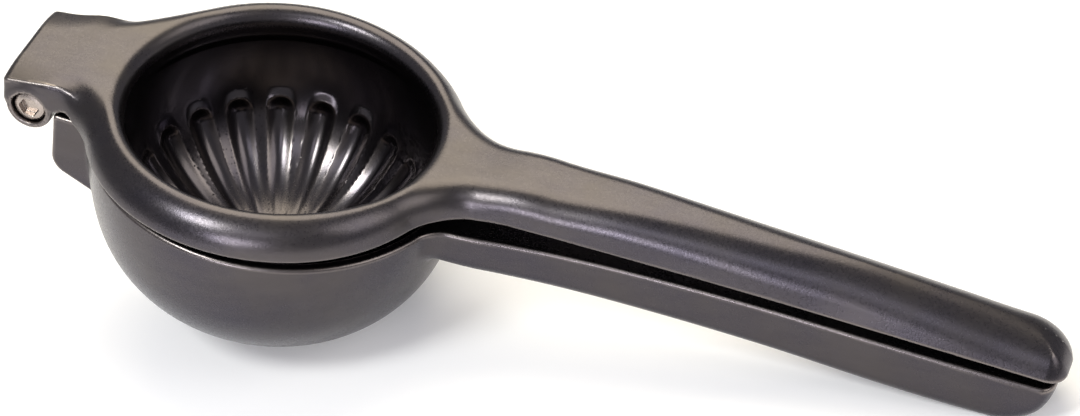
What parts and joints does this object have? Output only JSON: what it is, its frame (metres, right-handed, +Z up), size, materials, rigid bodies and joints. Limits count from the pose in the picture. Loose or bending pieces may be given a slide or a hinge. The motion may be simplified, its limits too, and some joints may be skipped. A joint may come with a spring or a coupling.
{
  "type": "lemon squeezer",
  "caption": "Hinged hand press for lemon halves: a fluted cup on the upper lever folds down into a perforated bowl on the lower lever.",
  "frame": {"origin": "on the table under the middle of the squeezer, which lies closed as it rests: on the bowl's rounded base and the lower handle's tip", "axes": "+X along the handles, away from the hinge; +Y across the squeezer, along the hinge pin; +Z up"},
  "size_m": [0.2101, 0.0764, 0.0559],
  "materials": {
    "casting": "satin, fine blasted grain, dark grey",
    "pin_steel": "bright turned"
  },
  "bodies": {
    "bowl_lever": {"bowl_arm": "casting"},
    "press_lever": {"press_arm": "casting", "hinge_sleeve": "pin_steel", "hinge_screw": "pin_steel"}
  },
  "joints": [
    {"name": "press_arm_hinge", "type": "hinge", "parent": "bowl_lever", "child": "press_lever", "pos_m": [-0.0994, 0, 0.04833], "axis": [0, -1, 0], "range_deg": [0, 150]}
  ]
}
